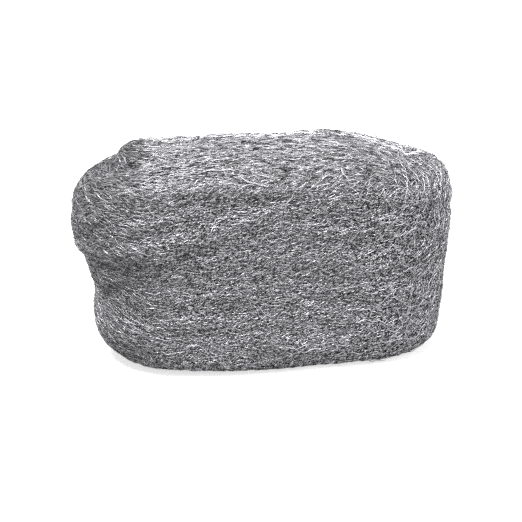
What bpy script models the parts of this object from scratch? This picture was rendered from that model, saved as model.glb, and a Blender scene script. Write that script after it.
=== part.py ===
"""A bundle of steel wool: one long ribbon of fibre, wound flat into a roll that stands on its end.

The roll is one solid. Its turns part in a spiral groove at the top and the bottom, its side has the
long folds of a ribbon wound by hand, and the ribbon's outer end thins out to nothing at the back.
Metres, +Z up, the long side along X, the front towards -Y, the origin under the middle.
"""

import math

import bmesh
import bpy
from mathutils import Vector, noise

# The ribbon and how it is wound
RIBBON_WIDTH = 0.084  # height of the standing roll
ROLL_DEPTH = 0.0599  # from the straight back to the straight front, halfway along the outermost turn
CORE_LENGTH = 0.082  # straight run of the innermost turn
TURN_THICKNESS = 0.0072  # one turn, pressed against the next
CORE_SET_BACK = 0.008  # the core lies this far behind the middle, so the front turns are thicker
END_PLACE = 0.008  # where the outer end stops on the back, from the middle
END_TAPER = 0.034  # length over which the outer end thins out

# The rounding of the rims
TOP_RIM = 0.016
LEFT_TOP_RIM = 0.0088
RIGHT_TOP_RIM = 0.009
BOTTOM_RIM = 0.008
LEFT_BOTTOM_RIM = 0.0115

# The grooves between the turns
TOP_GROOVE = 0.0012
BOTTOM_GROOVE = 0.0014
GROOVE_SPREAD = 0.0021  # half width
END_GAP = 0.0030  # extra depth behind the outer end, where it stands off
BEND_GAP = 0.0034  # extra depth round the core's left bend, which stands clear of the turns outside it
UNDER_GAP_SHARE = 0.4  # the same two gaps underneath, as a share of those on top

# How far the top edge strays from level
LEFT_DROP = 0.0084  # the outermost turn sits this far lower at the left, and the core a little
LEFT_CORE_DROP = 0.0004
RIGHT_DROP = 0.0075  # the top slopes down to the right bend
STRAY_FROM = 0.55  # share of the height above which all this tells
INNER_TURNS = (1.6, 2.2)  # the core's own drop takes over between these turns, counted inwards
END_RISE = 0.0040  # the outer turn is pushed up a little near its end
END_RISE_PLACE = 0.016  # this far before the end
END_RISE_SPREAD = 0.013

# How far the side strays from upright
LEFT_LOBE = 0.0030
LEFT_WAIST = 0.0045
LEFT_TUCK = 0.0100  # the left bend's foot is rolled under
RIGHT_TUCK = 0.0036
RIGHT_SWELL = 0.0021
FRONT_FOOT = 0.0030  # the foot of the front is pressed outwards by the weight

# Uneven packing, and how far in from the side's face it and the folds reach
LUMP_HEIGHT = 0.0009
LUMP_LENGTH = 0.030
LUMP_WIDTH = 0.009
FOLD_FADE = 0.010

# The mesh
ROUND_STEPS = 210
WALL_STEP = 0.0015
RIM_STEPS = 10
INNERMOST_RING = 0.035  # as a share of the way from the core line to the rim
SOFTENING = 3  # passes of smoothing over the finished skin
FACETS = 10500
UNDERSIDE_PRESS = 0.0004  # what lies lower than this is pressed flat, so the roll stands on a true plane

# Folds in the side, each a step that stands out above its line and pulls in below it. A line runs
# through points (run, height): run is 0 at the middle of the front and 1 where its straight part
# ends, height is a share of the ribbon's width. Then come the step's depth, which is below 0 where
# it stands out below the line instead, and the spread from the line to its crest.
FOLDS = (
    # under the swollen top of the front, from the left bend to the right one
    (((-1.53, 0.83), (-1.15, 0.83), (-0.82, 0.83)), 0.0008, 0.0026),
    (((-0.68, 0.84), (-0.27, 0.84), (0.21, 0.83), (0.55, 0.81), (0.99, 0.82)), 0.0004, 0.0024),
    (((-0.05, 0.87), (0.68, 0.88)), 0.0004, 0.0020),
    (((-1.75, 0.92), (-1.32, 0.90), (-0.95, 0.89), (-0.62, 0.88)), 0.0012, 0.0032),
    (((-1.80, 0.75), (-1.46, 0.78)), 0.0004, 0.0022),
    # the long fold that climbs from the waist of the left bend
    (
        ((-1.99, 0.60), (-1.52, 0.67), (-1.20, 0.67), (-0.67, 0.72), (-0.40, 0.76), (0.08, 0.79)),
        -0.0006,
        0.0024,
    ),
    (((-1.28, 0.77), (-1.02, 0.79), (-0.63, 0.81)), -0.0004, 0.0018),
    (((-1.30, 0.70), (-1.04, 0.75), (-0.86, 0.76)), 0.0003, 0.0018),
    (((-1.98, 0.56), (-1.40, 0.57), (-1.05, 0.575), (-0.80, 0.61)), 0.0015, 0.0032),
    (((-0.77, 0.66), (-0.41, 0.66)), 0.0004, 0.0022),
    # short folds of the front
    (((-0.31, 0.71), (-0.12, 0.72)), 0.0005, 0.0020),
    (((0.05, 0.77), (0.33, 0.75), (0.68, 0.74)), 0.0009, 0.0022),
    (((0.20, 0.65), (0.52, 0.64)), 0.0004, 0.0020),
    (((0.63, 0.71), (0.78, 0.71)), -0.0005, 0.0022),
    (((0.64, 0.60), (0.82, 0.59)), -0.0005, 0.0022),
    (((0.15, 0.52), (0.55, 0.53)), 0.0005, 0.0020),
    (((0.61, 0.47), (0.83, 0.47)), 0.0006, 0.0022),
    (((-0.39, 0.43), (-0.12, 0.44)), -0.0005, 0.0022),
    (((0.35, 0.38), (0.79, 0.36)), 0.0007, 0.0020),
    (((-1.02, 0.27), (-0.73, 0.26)), 0.0005, 0.0020),
    (((0.56, 0.21), (0.74, 0.22)), 0.0005, 0.0022),
    (((-0.73, 0.20), (-0.34, 0.20)), -0.0004, 0.0026),
    (((0.21, 0.15), (0.44, 0.15)), -0.0003, 0.0022),
    (((-0.22, 0.15), (-0.01, 0.13)), 0.0005, 0.0024),
    (((0.26, 0.11), (0.47, 0.09)), 0.0007, 0.0028),
    # the left bend under its waist
    (((-1.62, 0.44), (-1.11, 0.49), (-0.97, 0.48)), 0.0007, 0.0022),
    (((-1.52, 0.32), (-0.88, 0.34)), 0.0004, 0.0024),
    (((-1.24, 0.21), (-1.00, 0.22)), 0.0004, 0.0022),
    (((-1.35, 0.15), (-1.20, 0.14)), 0.0009, 0.0026),
    # the right bend
    (((1.37, 0.81), (1.78, 0.78)), 0.0005, 0.0024),
    (((0.92, 0.70), (1.34, 0.59)), 0.0005, 0.0020),
    (((1.13, 0.80), (1.60, 0.59)), 0.0005, 0.0020),
    (((1.40, 0.51), (1.50, 0.51)), 0.0007, 0.0024),
    (((1.38, 0.43), (1.50, 0.43)), 0.0007, 0.0024),
    (((1.11, 0.41), (1.32, 0.40)), -0.0007, 0.0024),
    (((0.90, 0.31), (1.16, 0.30), (1.55, 0.26)), 0.0005, 0.0022),
    (((0.99, 0.13), (1.19, 0.10)), 0.0007, 0.0022),
    # the back
    (((-4.20, 0.60), (-3.60, 0.66), (-3.10, 0.63), (-2.50, 0.66)), 0.0009, 0.0028),
    (((-4.10, 0.34), (-3.40, 0.30), (-2.80, 0.34)), 0.0008, 0.0026),
    (((-3.30, 0.80), (-2.70, 0.84), (-2.10, 0.80)), 0.0007, 0.0026),
    (((2.20, 0.52), (2.80, 0.48), (3.60, 0.52)), 0.0009, 0.0028),
    (((2.20, 0.24), (2.80, 0.27), (3.50, 0.24)), 0.0007, 0.0026),
    (((2.00, 0.77), (2.90, 0.82), (3.70, 0.79)), 0.0008, 0.0026),
)
FOLD_END_SPREAD = 1.5  # a fold dies away beyond its ends over this many spreads

HALF_CORE = CORE_LENGTH / 2
MIDDLE_REACH = ROLL_DEPTH / 2
TURNS = MIDDLE_REACH / TURN_THICKNESS + 0.5  # from the core line out to the ribbon's outer end
BEND_RUN = math.pi * MIDDLE_REACH
LAP = 2 * CORE_LENGTH + 2 * BEND_RUN
LEFT_BEND = (END_PLACE + HALF_CORE + BEND_RUN / 2) / LAP


def smooth(value):
    value = min(1.0, max(0.0, value))
    return value * value * (3 - 2 * value)


def swell(value, centre, spread):
    """1 at the centre, falling to nothing a few spreads away."""
    return math.exp(-(((value - centre) / spread) ** 2))


def lap_place(share):
    """The core point and the outward direction at a share of the lap.

    The lap starts at the ribbon's outer end and goes anticlockwise, seen from above.
    """
    run = share % 1.0 * LAP
    back_left = END_PLACE + HALF_CORE
    if run < back_left:
        return END_PLACE - run, math.pi / 2
    run -= back_left
    if run < BEND_RUN:
        return -HALF_CORE, math.pi / 2 + run / MIDDLE_REACH
    run -= BEND_RUN
    if run < CORE_LENGTH:
        return run - HALF_CORE, 1.5 * math.pi
    run -= CORE_LENGTH
    if run < BEND_RUN:
        return HALF_CORE, 1.5 * math.pi + run / MIDDLE_REACH
    return HALF_CORE - (run - BEND_RUN), math.pi / 2


def wound_reach(share):
    """From the core line to the face of the outermost turn, growing by one turn in a lap."""
    return TURN_THICKNESS * (TURNS - 1 + share)


def reach(share):
    """The same, with the ribbon's outer end thinned out."""
    taper = smooth((share - 1) * LAP / END_TAPER + 1)
    return wound_reach(share) - TURN_THICKNESS * taper


def front_run(share):
    """Distance along the lap from the middle of the front, as the folds count it."""
    front = LEFT_BEND + (BEND_RUN / 2 + HALF_CORE) / LAP
    return (share - front) * LAP / HALF_CORE


def fold_relief(share, height):
    """How far the folds push the side out, below 0 where they pull it in."""
    relief = 0.0
    here = Vector((front_run(share) * HALF_CORE, height))
    for points, deep, spread in FOLDS:
        places = [Vector((run * HALF_CORE, rise * RIBBON_WIDTH)) for run, rise in points]
        above, beyond = min(
            (line_offset(here, start, end) for start, end in zip(places, places[1:])),
            key=lambda offset: math.hypot(*offset),
        )
        step = above / spread
        fade = beyond / (spread * FOLD_END_SPREAD)
        relief += deep * step * math.exp((1 - step * step - fade * fade) / 2)
    return relief


def line_offset(here, start, end):
    """How far a point lies above the line from start to end, and how far past its nearer end."""
    along = (end - start).normalized()
    off = here - start
    forward = off.dot(along)
    above = along.x * off.y - along.y * off.x
    return above, max(0.0, -forward, forward - (end - start).length)


def side_stray(share, height):
    """How far the side bulges out: a lobe, a waist and a tucked foot at the left, a swell at the right."""
    rise = height / RIBBON_WIDTH
    left = swell(share, LEFT_BEND, 0.13)
    bulge = left * LEFT_LOBE * swell(rise, 0.70, 0.17)
    bulge -= left * LEFT_WAIST * swell(rise, 0.34, 0.18)
    bulge -= LEFT_TUCK * swell(share, LEFT_BEND, 0.17) * swell(rise, -0.02, 0.16)
    right = swell(share, LEFT_BEND + 0.5, 0.12)
    bulge += right * RIGHT_SWELL * swell(rise, 0.62, 0.25)
    bulge -= right * RIGHT_TUCK * swell(rise, -0.02, 0.11)
    bulge += FRONT_FOOT * swell(front_run(share), -0.3, 0.7) * swell(rise, 0.0, 0.20)
    return bulge


def groove(share, turn, depth, gap_share):
    """Depth of the groove between two turns; turn counts inwards from the outer face."""
    nearest = max(1, round(turn))
    off = (turn - nearest) * TURN_THICKNESS
    wound = nearest + 1 - share
    bend = swell(wound, 3 - LEFT_BEND, 0.10)
    gaps = END_GAP * swell(wound, 1.06, 0.07) + BEND_GAP * bend
    pressed = smooth(turn - 1.5) * swell(share, LEFT_BEND, 0.16) * (1 - bend)
    return (depth * (1 - pressed) + gap_share * gaps) * swell(off, 0.0, GROOVE_SPREAD)


def top_stray(share, turn, x):
    """How far the top edge lies above or below level."""
    first, last = INNER_TURNS
    inner = smooth((turn - first) / (last - first))
    before_end = (1 - share) * LAP
    stray = -LEFT_CORE_DROP * swell(share, LEFT_BEND, 0.12) * inner
    stray -= LEFT_DROP * swell(share, LEFT_BEND, 0.12) * (1 - inner)
    stray -= RIGHT_DROP * smooth((x / HALF_CORE - 0.5) / 1.1)
    outermost = 1 - smooth((turn - 0.7) / 0.6)
    return stray + END_RISE * swell(before_end, END_RISE_PLACE, END_RISE_SPREAD) * outermost


def lump(place):
    stretched = Vector((place.x / LUMP_LENGTH, place.y / LUMP_LENGTH, place.z / LUMP_WIDTH))
    return LUMP_HEIGHT * noise.noise(stretched)


def top_rim(share):
    """Radius of the top rim, which is tighter round both bends."""
    left = (LEFT_TOP_RIM - TOP_RIM) * swell(share, LEFT_BEND, 0.15)
    right = (RIGHT_TOP_RIM - TOP_RIM) * swell(share, LEFT_BEND + 0.5, 0.14)
    return TOP_RIM + left + right


def bottom_rim(share):
    """Radius of the bottom rim, which is wider round the left bend."""
    return BOTTOM_RIM + (LEFT_BOTTOM_RIM - BOTTOM_RIM) * swell(share, LEFT_BEND, 0.15)


def section():
    """The rings that wrap the roll, from the core underneath, round the side, to the core on top.

    Each is a zone and how far through that zone the ring lies, from 0 to 1.
    """
    across = TURN_THICKNESS * TURNS
    inner = round(across / WALL_STEP * 1.3)
    wall = round((RIBBON_WIDTH - BOTTOM_RIM - TOP_RIM) / WALL_STEP)
    rings = [("under", step / inner) for step in range(inner)]
    rings += [("foot", step / RIM_STEPS) for step in range(RIM_STEPS)]
    rings += [("wall", step / wall) for step in range(wall)]
    rings += [("rim", step / RIM_STEPS) for step in range(RIM_STEPS)]
    rings += [("top", step / inner) for step in range(inner + 1)]
    return rings


def ring_place(share, zone, through):
    """Inset from the outer face, share of the way in from there to the core line, and height."""
    rim = top_rim(share)
    foot = bottom_rim(share)
    turned = math.pi / 2 * through
    if zone == "under":
        return foot, (1 - INNERMOST_RING) * (1 - through), 0.0
    if zone == "foot":
        return foot * (1 - math.sin(turned)), 0.0, foot * (1 - math.cos(turned))
    if zone == "wall":
        return 0.0, 0.0, foot + (RIBBON_WIDTH - foot - rim) * through
    if zone == "rim":
        return rim * (1 - math.cos(turned)), 0.0, RIBBON_WIDTH - rim * (1 - math.sin(turned))
    return rim, (1 - INNERMOST_RING) * through, RIBBON_WIDTH


def ring_point(share, zone, through):
    """Where one point of a ring lies once the roll is shaped."""
    inset, inward, height = ring_place(share, zone, through)
    core_x, angle = lap_place(share)
    out = (reach(share) - inset) * (1 - inward)
    turn = (wound_reach(share) - out) / TURN_THICKNESS
    set_back = CORE_SET_BACK * smooth(1 - out / reach(share))

    rise = height
    core_fade = smooth(out / TURN_THICKNESS)
    if zone in ("rim", "top"):
        rise -= core_fade * groove(share, turn, TOP_GROOVE, 1.0)
    if zone in ("under", "foot"):
        rise += core_fade * groove(share, turn, BOTTOM_GROOVE, UNDER_GAP_SHARE)
    upper = smooth((height / RIBBON_WIDTH - STRAY_FROM) / (1 - STRAY_FROM))
    rise += upper * top_stray(share, turn, core_x + out * math.cos(angle))

    face = 1 - smooth(inset / FOLD_FADE)
    out += side_stray(share, height) * (1 - inward) + face * fold_relief(share, height)
    place = Vector((core_x + out * math.cos(angle), out * math.sin(angle) + set_back, rise))
    bump = lump(place)
    place.x += face * bump * math.cos(angle)
    place.y += face * bump * math.sin(angle)
    if zone in ("rim", "top"):
        place.z += (1 - face) * bump
    return place


def add_ring(bm, zone, through):
    """One closed loop of edges round the roll."""
    shares = [(step + 0.5) / ROUND_STEPS for step in range(ROUND_STEPS)]
    verts = [bm.verts.new(ring_point(share, zone, through)) for share in shares]
    return [bm.edges.new(pair) for pair in zip(verts, verts[1:] + verts[:1])]


def wound_mesh():
    """The roll's skin, bridged from ring to ring and closed at the core."""
    bm = bmesh.new()
    loops = [add_ring(bm, zone, through) for zone, through in section()]
    for lower, upper in zip(loops, loops[1:]):
        bmesh.ops.bridge_loops(bm, edges=lower + upper)
    for loop in (loops[0], loops[-1]):
        bmesh.ops.contextual_create(bm, geom=loop)
    bmesh.ops.triangulate(bm, faces=bm.faces)
    bmesh.ops.recalc_face_normals(bm, faces=bm.faces)
    mesh = bpy.data.meshes.new("steel_wool_roll")
    bm.to_mesh(mesh)
    bm.free()
    return mesh


def set_on_origin(mesh):
    """Put the middle of the roll's plan over the origin, and press its underside flat on the floor."""
    bm = bmesh.new()
    bm.from_mesh(mesh)
    middle = [
        (max(vert.co[axis] for vert in bm.verts) + min(vert.co[axis] for vert in bm.verts)) / 2
        for axis in (0, 1)
    ]
    bmesh.ops.translate(bm, verts=bm.verts, vec=(-middle[0], -middle[1], -UNDERSIDE_PRESS))
    for vert in bm.verts:
        vert.co.z = max(0.0, vert.co.z)
    bm.to_mesh(mesh)
    bm.free()


def steel_wool():
    material = bpy.data.materials.new("steel_wool")
    material.use_nodes = True
    shader = material.node_tree.nodes["Principled BSDF"]
    shader.inputs["Base Color"].default_value = (0.30, 0.30, 0.32, 1)
    shader.inputs["Metallic"].default_value = 0.85
    shader.inputs["Roughness"].default_value = 0.55
    return material


def steel_wool_roll():
    """The wound skin, softened, brought down to a few thousand facets and stood on the floor."""
    roll = bpy.data.objects.new("steel_wool_roll", wound_mesh())
    bpy.context.collection.objects.link(roll)

    soften = roll.modifiers.new("soft_edges", "SMOOTH")
    soften.factor = 0.5
    soften.iterations = SOFTENING

    fewer = roll.modifiers.new("fewer_facets", "DECIMATE")
    fewer.ratio = min(1.0, FACETS / len(roll.data.polygons))

    graph = bpy.context.evaluated_depsgraph_get()
    finished = bpy.data.meshes.new_from_object(roll.evaluated_get(graph))
    roll.modifiers.clear()
    roll.data = finished
    set_on_origin(finished)
    finished.materials.append(steel_wool())
    finished.shade_smooth()
    return roll


for old in list(bpy.data.objects):
    bpy.data.objects.remove(old)
steel_wool_roll()
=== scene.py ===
"""The looks of a steel wool bundle: a body of packed wool, and thousands of wavy steel fibres over it."""

import math

import bmesh
import bpy
import numpy as np
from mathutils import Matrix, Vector, noise
from mathutils.bvhtree import BVHTree


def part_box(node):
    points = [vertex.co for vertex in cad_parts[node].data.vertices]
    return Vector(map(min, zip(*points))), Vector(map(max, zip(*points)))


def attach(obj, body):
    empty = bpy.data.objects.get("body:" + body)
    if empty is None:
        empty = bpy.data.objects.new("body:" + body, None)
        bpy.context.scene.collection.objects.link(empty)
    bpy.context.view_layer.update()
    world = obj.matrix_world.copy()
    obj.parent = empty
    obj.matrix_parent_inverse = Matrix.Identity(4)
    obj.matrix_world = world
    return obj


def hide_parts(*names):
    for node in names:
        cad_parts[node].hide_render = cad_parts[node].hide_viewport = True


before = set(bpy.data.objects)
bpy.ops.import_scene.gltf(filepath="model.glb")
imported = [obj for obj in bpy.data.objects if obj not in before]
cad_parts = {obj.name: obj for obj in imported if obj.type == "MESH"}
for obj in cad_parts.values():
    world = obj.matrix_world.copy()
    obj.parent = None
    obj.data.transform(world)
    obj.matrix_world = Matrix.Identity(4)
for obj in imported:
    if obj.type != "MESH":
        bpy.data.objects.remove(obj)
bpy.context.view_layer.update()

MM = 0.001
ROLL = "steel_wool_roll"
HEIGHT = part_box(ROLL)[1][2]

# How the ribbon is wound, in the roll's plan: the straight core line that every turn goes round
CORE_LEFT = -42.5 * MM
CORE_RIGHT = 39.5 * MM
CORE_Y = -1.1 * MM
CORE_SET_BACK = 8.0 * MM  # the innermost turns lie this much further back
OUTER_REACH = 30.0 * MM  # from the core line to the outermost turn

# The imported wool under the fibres
WOOL_VOXEL = 1.2 * MM
WOOL_SMOOTHING = 2
WOOL_SINK = 0.6 * MM  # drawn in, so the fibres over it keep the roll's size
WELD = 0.001 * MM
CLUMP_DEPTH = 0.07 * MM
CLUMP_LENGTH = 30.0 * MM
CLUMP_WIDTH = 3.0 * MM

# Crimp marks: painted glints and painted shade, short strokes of light and dark in the colour, which climb
# to the right as the roll is seen from the front
CRIMP_STRETCH = 2.6
CRIMP_CLIMB = math.radians(18)

# Streaks: long bands, a little lighter or darker, that run with the ribbon
STREAK_STRETCH = 15.0
STREAK_WIDTH = 1.5 * MM
STREAK_SWAY = 3.0 * MM
STREAK_SWAY_LENGTH = 28.0 * MM

# How strongly the wool is marked, in its tone and its painted crimp glints: smooth on the left bend and on
# top, crisp on the right bend
LEFT_CRISP = 0.35
MIDDLE_CRISP = 0.65  # more than on the left
RIGHT_CRISP = 0.9  # more again
TOP_SMOOTHED = 0.6
LEFT_BEND_END = -62.0 * MM
LEFT_BEND_FADE = 34.0 * MM
RIGHT_BEND_START = 18.0 * MM
RIGHT_BEND_FADE = 40.0 * MM

# Where the fibres begin to lie every way, on the right bend
TANGLE_START = 30.0 * MM
TANGLE_FADE = 22.0 * MM

# Loose fibres: the share left on the left bend, what is added to the right of it, and where
LOOSE_LEFT = 0.02
LOOSE_MIDDLE = 0.07
LOOSE_START = -50.0 * MM
LOOSE_FADE = 30.0 * MM

# Painted shade: folds and grooves are painted darker in the fibres' tone than their depth shades them,
# since little light gets between the fibres there
HOLLOW_PASSES = 50  # of smoothing, that give the roll without its folds
HOLLOW_DEPTH = 1.0 * MM  # as deep as this below the smoothed roll, the painted shade is full
PAINTED_HOLLOW_SHADE = 0.42
PAINTED_GROOVE_SHADE = 0.28  # more painted shade, between the turns on top and underneath
GROOVE_FROM = 0.4  # of HOLLOW_DEPTH, where that shade is full
PAINTED_FRONT_TOP_SHADE = -0.11  # negative: painted light, the top is paler at the front
PAINTED_BACK_TOP_SHADE = 0.52  # and painted shade: it is darker at the back
BACK_START = 3.0 * MM
BACK_FADE = 15.0 * MM

# Heights that count as the top and as either end, in shares of the roll's height
TOP_START = 0.80
TOP_FADE = 0.1
TOP_CRISP_FADE = 0.12
END_START = 0.36  # from the middle
END_FADE = 0.06

# Normals, by how much they point up or down: what is top, underneath and side
TOP_FACING = 0.45
UNDER_FACING = -0.5
SIDE_FACING = 0.4
SIDE_FADE = 0.4

# The fibres
FIBRE_SIDES = 3
FIBRE_TIP = 0.35  # a tip's thickness, as a share of the fibre's
LOWEST = 0.30 * MM  # a fibre's middle stays this far above the floor
EVEN_CELL = 1.0 * MM  # fibres are spread evenly down to this size
CELL_BITS = 8  # enough to count the cells along the roll
PATCH = 9.0 * MM  # neighbours within a patch turn the same way
RISE_TO_WAVE = 1.1  # a fibre rises and dips a little oftener than it swings from side to side

# How much fibres differ from each other in length, wave length, swing and thickness
LENGTH_SPREAD = 0.25
WAVE_SPREAD = 0.2
SWING_SPREAD = 0.35
THICKNESS_SPREAD = 0.22

# The short fibres of the mat. Angles are in degrees.
MATTED = {
    "points": 4,
    "length": 4.2 * MM,
    "stray": 20,
    "tangle": 30,
    "wander": 12,
    "curl": 7,
    "swing": 0.22 * MM,
    "wave_length": 5 * MM,
    "low": 0.0 * MM,
    "high": 0.7 * MM,
    "loft": 0.15 * MM,
    "radius": 0.18 * MM,
    "streak": 0.24,
    "tone_and_painted_shade": (0.2, 0.75),
}
FLAT_MATTED = {**MATTED, "high": 0.5 * MM, "loft": 0.12 * MM, "stray": 15, "tone_and_painted_shade": (0.36, 0.62)}

# The long bright fibres that have come loose from it
LOOSE = {
    "points": 14,
    "length": 12 * MM,
    "stray": 22,
    "tangle": 50,
    "wander": 12,
    "curl": 6,
    "swing": 0.35 * MM,
    "wave_length": 7 * MM,
    "low": 0.6 * MM,
    "high": 1.1 * MM,
    "loft": 0.2 * MM,
    "radius": 0.13 * MM,
    "streak": 0.0,
    "tone_and_painted_shade": (0.95, 1.35),
}

# How the fibres slope on the side: place in mm, degrees up to the right as seen from outside, reach in mm
SLOPES = (
    ((-60, -22, 75), -20, 13),
    ((-72, -8, 62), 35, 10),
    ((-62, -20, 50), 8, 12),
    ((-60, -20, 22), -30, 14),
    ((-45, -30, 8), -14, 14),
    ((-36, -31, 64), 9, 15),
    ((-8, -31, 69), 8, 15),
    ((-20, -31, 40), 2, 20),
    ((18, -31, 62), -3, 16),
    ((14, -31, 30), 0, 20),
    ((0, -31, 8), 2, 18),
    ((44, -30, 58), -12, 14),
    ((44, -30, 10), 14, 14),
    ((62, -20, 40), -8, 14),
)
LEVEL_WEIGHT = 0.35  # pulls the slope to level, away from the places above

# The floor and the surround: as the camera sees them, and as they light the roll
FLOOR_HALF = 3.0
FLOOR_SEEN = 0.95
FLOOR_ROUGHNESS = 0.8
FLOOR_GLOW = 0.65
FLOOR_LIT = 0.4
SURROUND_SEEN = 1.0
SURROUND_LIGHT = 0.24

# Each light's name, the direction it comes from, its spread in degrees and its strength
SUNS = (
    ("overhead", (0.0, 0.6, 1.0), 70, 0.4),
    ("front_top", (-0.22, -0.31, 1.0), 28, 5.0),
    ("right", (0.5, -1.0, 0.6), 60, 1.15),
    ("back_left", (-1.0, 0.65, 0.1), 50, 0.6),
    ("back_right", (1.0, 0.65, 0.1), 50, 0.5),
)

# The camera stands back from a centre on the roll's axis
CAMERA_CENTRE = (0, 0, 0.0418)
CAMERA_AZIMUTH = math.radians(-10.7)
CAMERA_ELEVATION = math.radians(19.05)
CAMERA_DISTANCE = 0.481
CAMERA_AIM = (-0.0010, 0.0, 0.0350)
LENS = 85
SENSOR_WIDTH = 36


def smooth(value):
    value = np.clip(value, 0.0, 1.0)
    return value * value * (3 - 2 * value)


def rising(value, start, fade):
    """0 up to the start, then smoothly up to 1 over the fade."""
    return smooth((value - start) / fade)


def unit(vectors):
    return vectors / (np.linalg.norm(vectors, axis=-1, keepdims=True) + 1e-12)


def from_core(places):
    """Each place's offset in plan from the core line, and where on the line that is."""
    centre_x = np.clip(places[:, 0], CORE_LEFT, CORE_RIGHT)
    return np.stack([places[:, 0] - centre_x, places[:, 1] - CORE_Y], -1), centre_x


def winding_direction(places, normals):
    """The way the ribbon runs at each place: level on the side, round the core on top and underneath."""
    off, centre_x = from_core(places)
    away = np.linalg.norm(off, axis=1)
    centre_y = CORE_Y + CORE_SET_BACK * smooth(1 - away / OUTER_REACH)
    level = 0 * away
    outward = unit(np.stack([places[:, 0] - centre_x, places[:, 1] - centre_y, level], -1))
    run = np.stack([-outward[:, 1], outward[:, 0], level], -1)
    run -= normals * (run * normals).sum(1, keepdims=True)
    return unit(run)


def slope_at(places, normals):
    """Radians that the fibres climb from the winding direction."""
    total = np.full(len(places), LEVEL_WEIGHT)
    climb = np.zeros(len(places))
    for place, degrees, reach in SLOPES:
        off = (places / MM - np.array(place)) / reach
        weight = np.exp(-(off**2).sum(1))
        climb += weight * degrees
        total += weight
    on_side = 1 - rising(np.abs(normals[:, 2]), SIDE_FACING, SIDE_FADE)
    return np.radians(climb / total) * on_side


def wander(places, size, depth):
    """A slow noise over the places, one value each."""
    return np.array([depth * noise.noise(Vector(place / size)) for place in places])


def crossing(places):
    """How far the fibres are tangled: 1 on the right bend, where they lie every way, to 0."""
    return rising(places[:, 0], TANGLE_START, TANGLE_FADE)


def packed_wool():
    """The roll's body, from the CAD solid: remeshed, then roughened along the fibres."""
    bm = bmesh.new()
    bm.from_mesh(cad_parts[ROLL].data)
    bmesh.ops.remove_doubles(bm, verts=bm.verts, dist=WELD)
    mesh = bpy.data.meshes.new("packed_wool")
    bm.to_mesh(mesh)
    bm.free()
    body = bpy.data.objects.new("packed_wool", mesh)
    bpy.context.collection.objects.link(body)
    remesh = body.modifiers.new("even_skin", "REMESH")
    remesh.mode = "VOXEL"
    remesh.voxel_size = WOOL_VOXEL
    soften = body.modifiers.new("soft", "SMOOTH")
    soften.iterations = WOOL_SMOOTHING
    graph = bpy.context.evaluated_depsgraph_get()
    finished = bpy.data.meshes.new_from_object(body.evaluated_get(graph))
    body.modifiers.clear()
    body.data = finished
    roughen(finished)
    lay_crimp(finished)
    finished.shade_smooth()
    return body


def mesh_places(mesh):
    """The mesh's vertices and their normals."""
    places = np.empty(len(mesh.vertices) * 3)
    mesh.vertices.foreach_get("co", places)
    normals = np.empty(len(mesh.vertices) * 3)
    mesh.vertices.foreach_get("normal", normals)
    return places.reshape(-1, 3), normals.reshape(-1, 3)


def roughen(mesh):
    """Draw the skin in, and press clumps into it that run with the fibres."""
    places, normals = mesh_places(mesh)
    run = winding_direction(places, normals)
    squeeze = 1 - CLUMP_WIDTH / CLUMP_LENGTH
    flat = places - run * (run * places).sum(1, keepdims=True) * squeeze
    depth = wander(flat, CLUMP_WIDTH, CLUMP_DEPTH)
    places += normals * (depth - WOOL_SINK)[:, None]
    places[:, 2] = np.maximum(places[:, 2], 0.0)
    mesh.vertices.foreach_set("co", places.ravel())
    mesh.update()


def unrolled(places, stretch, climb):
    """Coordinates for a pattern drawn out along the ribbon: round the roll, then up its side and inwards.

    The way round is closed into a circle, and the climb along the front is undone along the back, so the
    pattern has no seam.
    """
    off, centre_x = from_core(places)
    away = np.linalg.norm(off, axis=1)
    angle = np.arctan2(off[:, 1], off[:, 0])
    front = off[:, 1] < 0
    run = np.where(front, centre_x - CORE_LEFT, CORE_RIGHT - centre_x)
    bend = np.where(front, angle + math.pi, angle) * OUTER_REACH
    half = CORE_RIGHT - CORE_LEFT + math.pi * OUTER_REACH
    lap = np.where(front, run + bend, half + run + bend)
    reach = half / math.pi / stretch
    turn = math.pi * lap / half
    rise = places[:, 2] - away - math.tan(climb) * np.minimum(lap, 2 * half - lap)
    return np.stack([reach * np.cos(turn), reach * np.sin(turn), rise], -1)


def hollows(mesh):
    """How far each face lies in a fold or groove, from -1 on a crest to 1 in a hollow."""
    places, normals = mesh_places(mesh)
    bm = bmesh.new()
    bm.from_mesh(mesh)
    for _ in range(HOLLOW_PASSES):
        bmesh.ops.smooth_vert(
            bm, verts=bm.verts, factor=0.5, use_axis_x=True, use_axis_y=True, use_axis_z=True
        )
    plain = np.array([vert.co for vert in bm.verts])
    bm.free()
    off = ((plain - places) * normals).sum(1)
    depth = np.clip((off - np.median(off)) / HOLLOW_DEPTH, -1.0, 1.0)
    return np.array([depth[list(face.vertices)].mean() for face in mesh.polygons])


def crispness(places):
    """How strongly the wool is marked at each place."""
    from_left = rising(places[:, 0], LEFT_BEND_END, LEFT_BEND_FADE)
    to_right = rising(places[:, 0], RIGHT_BEND_START, RIGHT_BEND_FADE)
    to_top = rising(places[:, 2], TOP_START * HEIGHT, TOP_CRISP_FADE * HEIGHT)
    marked = LEFT_CRISP + MIDDLE_CRISP * from_left + RIGHT_CRISP * to_right
    return marked * (1 - TOP_SMOOTHED * to_top)


def lay_crimp(mesh):
    """Give the mesh what its finish reads: where the crimp marks, painted glints, lie and how strong they
    are.
    """
    places, _ = mesh_places(mesh)
    crimp = unrolled(places, CRIMP_STRETCH, CRIMP_CLIMB)
    mesh.attributes.new("crimp", "FLOAT_VECTOR", "POINT").data.foreach_set("vector", crimp.ravel())
    mesh.attributes.new("crisp", "FLOAT", "POINT").data.foreach_set("value", crispness(places))


def streaks(places):
    """How light or dark the streaks are at each place, about -0.5 to 0.5."""
    flat = unrolled(places, STREAK_STRETCH, 0.0)
    flat[:, 2] += wander(places, STREAK_SWAY_LENGTH, STREAK_SWAY)
    return wander(flat, STREAK_WIDTH, 1.0)


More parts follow.
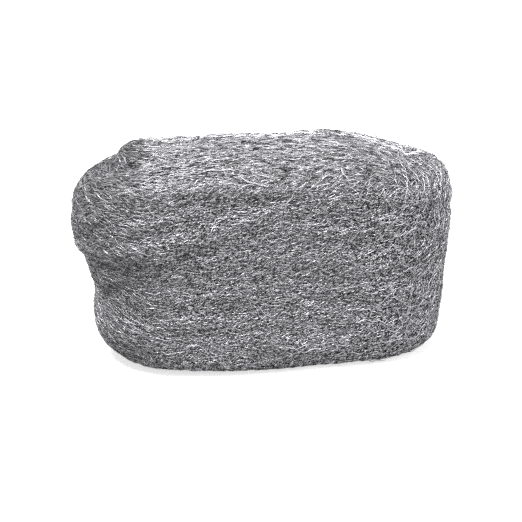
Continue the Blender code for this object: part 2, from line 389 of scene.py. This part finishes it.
def nearness_order(places):
    """An order that runs through the places cell by cell, so that neighbours come close together."""
    cells = ((places - places.min(0)) / EVEN_CELL).astype(np.int64)
    key = np.zeros(len(places), dtype=np.int64)
    for bit in range(CELL_BITS):
        for axis in range(3):
            key |= ((cells[:, axis] >> bit) & 1) << (3 * bit + axis)
    return np.argsort(key, kind="stable")


def skin_samples(mesh, rng, wanted, region):
    """Places spread evenly over the part of the skin that the region function keeps, in random order."""
    mesh.calc_loop_triangles()
    corners = np.empty(len(mesh.loop_triangles) * 3, dtype=np.int32)
    mesh.loop_triangles.foreach_get("vertices", corners)
    corners = corners.reshape(-1, 3)
    places, normals = mesh_places(mesh)
    facing = unit(normals[corners].mean(1))
    triangles = places[corners]
    middle = triangles.mean(1)
    first, second = triangles[:, 1] - triangles[:, 0], triangles[:, 2] - triangles[:, 0]
    area = np.linalg.norm(np.cross(first, second), axis=1)
    order = nearness_order(middle)
    reached = np.cumsum((area * region(middle, facing))[order])
    ticks = (np.arange(wanted) + rng.random(wanted)) / wanted * reached[-1]
    picked = rng.permutation(order[np.searchsorted(reached, ticks)])
    a, b = rng.random((2, wanted))
    beyond = a + b > 1
    a[beyond], b[beyond] = 1 - a[beyond], 1 - b[beyond]
    return triangles[picked, 0] + a[:, None] * first[picked] + b[:, None] * second[picked]


def on_skin(skin, places):
    """The nearest places on the skin, and its normals there."""
    found = [skin.find_nearest(Vector(place))[:2] for place in places]
    return np.array([hit for hit, _ in found]), unit(np.array([normal for _, normal in found]))


def fibre_paths(skin, starts, rng, look):
    """Centre lines of fibres that follow the winding, wave, and rise and dip as they go.

    Also each fibre's height in the mat, from 0 to 1, by which the low fibres get painted shade.
    """
    count = len(starts)
    here, normal = on_skin(skin, starts)
    turn = rng.normal(0.0, 1.0, count) * np.radians(look["stray"] + look["tangle"] * crossing(here))
    turn += slope_at(here, normal) + wander(here, PATCH, math.radians(look["wander"]))
    height = rng.random(count)
    curl = rng.normal(0.0, math.radians(look["curl"]), count)
    phase = rng.random(count) * 2 * math.pi
    rise_phase = rng.random(count) * 2 * math.pi
    wave = look["wave_length"] * rng.lognormal(0.0, WAVE_SPREAD, count)
    swing_size = look["swing"] * rng.lognormal(0.0, SWING_SPREAD, count)
    step = look["length"] * rng.lognormal(0.0, LENGTH_SPREAD, count) / (look["points"] - 1)
    lift = look["low"] + (look["high"] - look["low"]) * height
    points = np.empty((count, look["points"], 3))
    for i in range(look["points"]):
        run = winding_direction(here, normal)
        heading = turn + curl * (i - look["points"] / 2)
        ahead = run * np.cos(heading)[:, None] + np.cross(normal, run) * np.sin(heading)[:, None]
        through = 2 * math.pi * i * step / wave
        swing = swing_size * np.sin(phase + through)
        rise = lift + look["loft"] * np.sin(rise_phase + RISE_TO_WAVE * through)
        points[:, i] = here + np.cross(normal, ahead) * swing[:, None] + normal * rise[:, None]
        here, normal = on_skin(skin, here + ahead * step[:, None])
    points[:, :, 2] = np.maximum(points[:, :, 2], LOWEST)
    return points, height


def fibre_profile():
    """The triangular outline that each fibre is swept with."""
    outline = bpy.data.curves.new("fibre_profile", "CURVE")
    outline.dimensions = "2D"
    ring = outline.splines.new("POLY")
    ring.points.add(FIBRE_SIDES - 1)
    for i, point in enumerate(ring.points):
        angle = 2 * math.pi * i / FIBRE_SIDES
        point.co = (math.cos(angle), math.sin(angle), 0, 1)
    ring.use_cyclic_u = True
    profile = bpy.data.objects.new("fibre_profile", outline)
    bpy.context.collection.objects.link(profile)
    return profile


def fibre_mesh(name, paths, radii, profile):
    """One mesh of closed fibres, swept along the paths, thin at both ends."""
    curve = bpy.data.curves.new(name, "CURVE")
    curve.dimensions = "3D"
    curve.bevel_mode = "OBJECT"
    curve.bevel_object = profile
    curve.use_fill_caps = True
    taper = np.full(paths.shape[1], 1.0)
    taper[[0, -1]] = FIBRE_TIP
    corners = np.ones((paths.shape[1], 4))
    for path, radius in zip(paths, radii):
        spline = curve.splines.new("POLY")
        spline.points.add(len(path) - 1)
        corners[:, :3] = path
        spline.points.foreach_set("co", corners.ravel())
        spline.points.foreach_set("radius", taper * radius)
    swept = bpy.data.objects.new(name + "_swept", curve)
    bpy.context.collection.objects.link(swept)
    graph = bpy.context.evaluated_depsgraph_get()
    mesh = bpy.data.meshes.new_from_object(swept.evaluated_get(graph))
    bpy.data.objects.remove(swept)
    mesh.name = name
    return mesh


def painted_shade_at(skin, hollow_faces, places):
    """How much shade is painted into the fibres' tone at each place: in its hollows and grooves, and on
    its top, where the front gets painted light and the back painted shade.
    """
    faces = [skin.find_nearest(Vector(place))[2] for place in places]
    hollow = hollow_faces[faces]
    at_an_end = rising(np.abs(places[:, 2] / HEIGHT - 0.5), END_START, END_FADE)
    groove = at_an_end * smooth(hollow / GROOVE_FROM)
    top = rising(places[:, 2], TOP_START * HEIGHT, TOP_FADE * HEIGHT)
    back = rising(places[:, 1], BACK_START, BACK_FADE)
    # Painted light at the front of the top, painted shade at its back
    painted_top_light_and_shade = top * (PAINTED_FRONT_TOP_SHADE * (1 - back) + PAINTED_BACK_TOP_SHADE * back)
    return PAINTED_HOLLOW_SHADE * hollow + PAINTED_GROOVE_SHADE * groove + painted_top_light_and_shade


def fibres(name, body, seed, count, region, look, material):
    """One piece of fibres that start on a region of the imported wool."""
    wool, skin, hollow_faces, profile = body
    rng = np.random.default_rng(seed)
    starts = skin_samples(wool.data, rng, count, region)
    paths, height = fibre_paths(skin, starts, rng, look)
    radii = look["radius"] * rng.lognormal(0.0, THICKNESS_SPREAD, count)
    mesh = fibre_mesh(name, paths, radii, profile)
    dark, light = look["tone_and_painted_shade"]
    spread = (light - dark) * crispness(starts)
    # Higher fibres are painted lighter and lower ones darker: painted shade deeper in the mat, on top of a
    # tone that differs at random from fibre to fibre
    tone_and_painted_shade = (dark + light) / 2 + spread * (0.5 * height + 0.5 * rng.random(count) - 0.5)
    # The streaks are the wool's own colour; the painted shade of hollows, grooves and the top is taken off
    tone_and_painted_shade += look["streak"] * streaks(starts) - painted_shade_at(skin, hollow_faces, starts)
    tone_and_painted_shade = np.repeat(tone_and_painted_shade, len(mesh.vertices) // count)
    mesh.attributes.new("tone_and_painted_shade", "FLOAT", "POINT").data.foreach_set("value", tone_and_painted_shade)
    lay_crimp(mesh)
    mesh.materials.clear()
    mesh.materials.append(material)
    mesh.shade_smooth()
    piece = bpy.data.objects.new(name, mesh)
    bpy.context.collection.objects.link(piece)
    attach(piece, "root")


def node(tree, kind, **values):
    """A new node, with values for its sockets and its own settings."""
    made = tree.nodes.new(kind)
    for name, value in values.items():
        if name in made.inputs:
            made.inputs[name].default_value = value
        else:
            setattr(made, name, value)
    return made


def reckon(tree, operation, *parts):
    """The output of a Math node on the parts, each an output or a number."""
    made = node(tree, "ShaderNodeMath", operation=operation)
    for socket, part in zip(made.inputs, parts):
        if isinstance(part, float):
            socket.default_value = part
        else:
            tree.links.new(part, socket)
    return made.outputs["Value"]


def painted_crimp_glints_and_bumps():
    """A node group that gives the crimp marks, painted glints and painted shade: 0 dark, 1 light."""
    group = bpy.data.node_groups.new("painted_crimp_glints_and_bumps", "ShaderNodeTree")
    group.interface.new_socket("Scale", in_out="INPUT", socket_type="NodeSocketFloat")
    group.interface.new_socket("Contrast", in_out="INPUT", socket_type="NodeSocketFloat")
    group.interface.new_socket("Mark", in_out="OUTPUT", socket_type="NodeSocketFloat")
    given = node(group, "NodeGroupInput")
    result = node(group, "NodeGroupOutput")
    crimp = node(group, "ShaderNodeAttribute", attribute_name="crimp")
    marks = node(group, "ShaderNodeTexNoise", Detail=1.0, Roughness=0.5, Distortion=0.4)
    group.links.new(crimp.outputs["Vector"], marks.inputs["Vector"])
    group.links.new(given.outputs["Scale"], marks.inputs["Scale"])
    middled = reckon(group, "SUBTRACT", marks.outputs["Fac"], 0.5)
    crisp = node(group, "ShaderNodeAttribute", attribute_name="crisp")
    contrast = reckon(group, "MULTIPLY", crisp.outputs["Fac"], given.outputs["Contrast"])
    gained = reckon(group, "MULTIPLY_ADD", middled, contrast, 0.5)
    group.links.new(gained, result.inputs["Mark"])
    return group


def steel_finish(name, marks, scale, contrast, metallic, roughness):
    """Grey steel with crimp marks in it, painted glints and shade; gives the material, its node tree and
    the marks' output.
    """
    material = bpy.data.materials.new(name)
    material.use_nodes = True
    tree = material.node_tree
    shader = tree.nodes["Principled BSDF"]
    shader.inputs["Metallic"].default_value = metallic
    shader.inputs["Roughness"].default_value = roughness
    marked = node(tree, "ShaderNodeGroup", node_tree=marks)
    marked.inputs["Scale"].default_value = scale
    marked.inputs["Contrast"].default_value = contrast
    return material, tree, marked.outputs["Mark"]


def colour_by(tree, output, dark, light):
    """Colour the steel from dark to light, and faintly blue, as the output goes from 0 to 1."""
    ramp = node(tree, "ShaderNodeValToRGB")
    ramp.color_ramp.elements[0].color = (dark, dark, 1.03 * dark, 1)
    ramp.color_ramp.elements[1].color = (light, light, min(1.0, 1.04 * light), 1)
    tree.links.new(output, ramp.inputs["Fac"])
    tree.links.new(ramp.outputs["Color"], tree.nodes["Principled BSDF"].inputs["Base Color"])


def packed_finish(marks):
    """The felted steel that shows between the fibres: darker than the fibres, as painted shade between
    them, with painted crimp glints in its colour that also drive a real bump.
    """
    material, tree, mark = steel_finish(
        "packed_wool", marks, scale=2800.0, contrast=3.0, metallic=0.9, roughness=0.45
    )
    colour_by(tree, mark, dark=0.02, light=0.6)
    bump = node(tree, "ShaderNodeBump", Strength=1.0, Distance=0.3 * MM)
    tree.links.new(mark, bump.inputs["Height"])
    tree.links.new(bump.outputs["Normal"], tree.nodes["Principled BSDF"].inputs["Normal"])
    return material


def fibre_finish(marks):
    """Drawn steel, darker and lighter from fibre to fibre, with painted glints where it is crimped and the
    painted shade carried in its tone.
    """
    material, tree, mark = steel_finish(
        "steel_fibre", marks, scale=3200.0, contrast=3.8, metallic=0.75, roughness=0.44
    )
    tone_and_painted_shade = node(tree, "ShaderNodeAttribute", attribute_name="tone_and_painted_shade")
    # The painted crimp glints are added to the fibre's tone and its painted shade
    both = reckon(tree, "ADD", mark, tone_and_painted_shade.outputs["Fac"])
    colour_by(tree, reckon(tree, "SUBTRACT", both, 0.5), dark=0.035, light=0.90)
    return material


def on_top(middle, facing):
    return ((facing[:, 2] > TOP_FACING) & (middle[:, 2] > HEIGHT / 2)).astype(float)


def underneath(middle, facing):
    return ((facing[:, 2] < UNDER_FACING) & (middle[:, 2] < HEIGHT / 2)).astype(float)


def side(middle, facing):
    return (1 - on_top(middle, facing)) * (1 - underneath(middle, facing))


def front_side(middle, facing):
    return side(middle, facing) * (middle[:, 1] < CORE_Y)


def back_side(middle, facing):
    return side(middle, facing) * (middle[:, 1] >= CORE_Y)


def loosened(middle, facing):
    """Most on the right bend, fewer over the rest of the side and top, hardly any on the left bend."""
    right_of_left = rising(middle[:, 0], LOOSE_START, LOOSE_FADE)
    return (1 - underneath(middle, facing)) * (
        LOOSE_LEFT + LOOSE_MIDDLE * right_of_left + crossing(middle)
    )


def look_at(thing, target):
    thing.rotation_euler = (Vector(target) - thing.location).to_track_quat("-Z", "Y").to_euler()


def add_sun(name, direction, spread_degrees, strength):
    data = bpy.data.lights.new(name, "SUN")
    data.angle = math.radians(spread_degrees)
    data.energy = strength
    lamp = bpy.data.objects.new(name, data)
    lamp.location = direction
    bpy.context.collection.objects.link(lamp)
    look_at(lamp, (0, 0, 0))


def grey(level):
    return (level, level, level, 1)


def seen_and_lit(tree, seen, lit, end):
    """Show the camera one shader, and light the roll with another."""
    path = node(tree, "ShaderNodeLightPath")
    mix = node(tree, "ShaderNodeMixShader")
    tree.links.new(path.outputs["Is Camera Ray"], mix.inputs["Fac"])
    tree.links.new(lit.outputs[0], mix.inputs[1])
    tree.links.new(seen.outputs[0], mix.inputs[2])
    tree.links.new(mix.outputs["Shader"], tree.nodes[end].inputs["Surface"])


def pale_floor():
    bm = bmesh.new()
    bmesh.ops.create_grid(bm, x_segments=1, y_segments=1, size=FLOOR_HALF)
    mesh = bpy.data.meshes.new("floor")
    bm.to_mesh(mesh)
    bm.free()
    floor = bpy.data.objects.new("floor", mesh)
    bpy.context.collection.objects.link(floor)
    material = bpy.data.materials.new("pale_floor")
    material.use_nodes = True
    tree = material.node_tree
    seen = tree.nodes["Principled BSDF"]
    seen.inputs["Base Color"].default_value = grey(FLOOR_SEEN)
    seen.inputs["Roughness"].default_value = FLOOR_ROUGHNESS
    seen.inputs["Emission Color"].default_value = grey(1)
    seen.inputs["Emission Strength"].default_value = FLOOR_GLOW
    lit = node(tree, "ShaderNodeBsdfDiffuse", Color=grey(FLOOR_LIT))
    seen_and_lit(tree, seen, lit, "Material Output")
    mesh.materials.append(material)


def white_surround():
    world = bpy.data.worlds.new("surround")
    bpy.context.scene.world = world
    world.use_nodes = True
    tree = world.node_tree
    lit = tree.nodes["Background"]
    lit.inputs["Color"].default_value = grey(1)
    lit.inputs["Strength"].default_value = SURROUND_LIGHT
    seen = node(tree, "ShaderNodeBackground", Color=grey(1), Strength=SURROUND_SEEN)
    seen_and_lit(tree, seen, lit, "World Output")


def camera():
    data = bpy.data.cameras.new("camera")
    data.lens = LENS
    data.sensor_width = SENSOR_WIDTH
    eye = bpy.data.objects.new("camera", data)
    back = Vector(
        (
            math.sin(CAMERA_AZIMUTH) * math.cos(CAMERA_ELEVATION),
            -math.cos(CAMERA_AZIMUTH) * math.cos(CAMERA_ELEVATION),
            math.sin(CAMERA_ELEVATION),
        )
    )
    eye.location = Vector(CAMERA_CENTRE) + back * CAMERA_DISTANCE
    bpy.context.collection.objects.link(eye)
    look_at(eye, CAMERA_AIM)
    bpy.context.scene.camera = eye


# Each piece of fibres: its name, the seed of its chances, how many fibres, where and what kind
PIECES = (
    ("front_fibres", 11, 9900, front_side, MATTED),
    ("front_fibres_b", 15, 7600, front_side, MATTED),
    ("back_fibres", 12, 9900, back_side, MATTED),
    ("top_fibres", 13, 9900, on_top, FLAT_MATTED),
    ("under_fibres", 14, 4500, underneath, FLAT_MATTED),
    ("loose_fibres", 16, 540, loosened, LOOSE),
)

camera()
pale_floor()
white_surround()
for name, direction, spread_degrees, strength in SUNS:
    add_sun(name, direction, spread_degrees, strength)
bpy.context.scene.view_settings.view_transform = "Standard"
bpy.context.scene.cycles.use_denoising = False  # it would wipe out the fibres

marks = painted_crimp_glints_and_bumps()
wool = packed_wool()
wool.data.materials.clear()
wool.data.materials.append(packed_finish(marks))
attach(wool, "root")
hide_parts(ROLL)

skin = BVHTree.FromPolygons(
    [vert.co for vert in wool.data.vertices], [face.vertices for face in wool.data.polygons]
)
profile = fibre_profile()
body = (wool, skin, hollows(wool.data), profile)
steel = fibre_finish(marks)
for name, seed, count, region, look in PIECES:
    fibres(name, body, seed, count, region, look, steel)
bpy.data.objects.remove(profile)
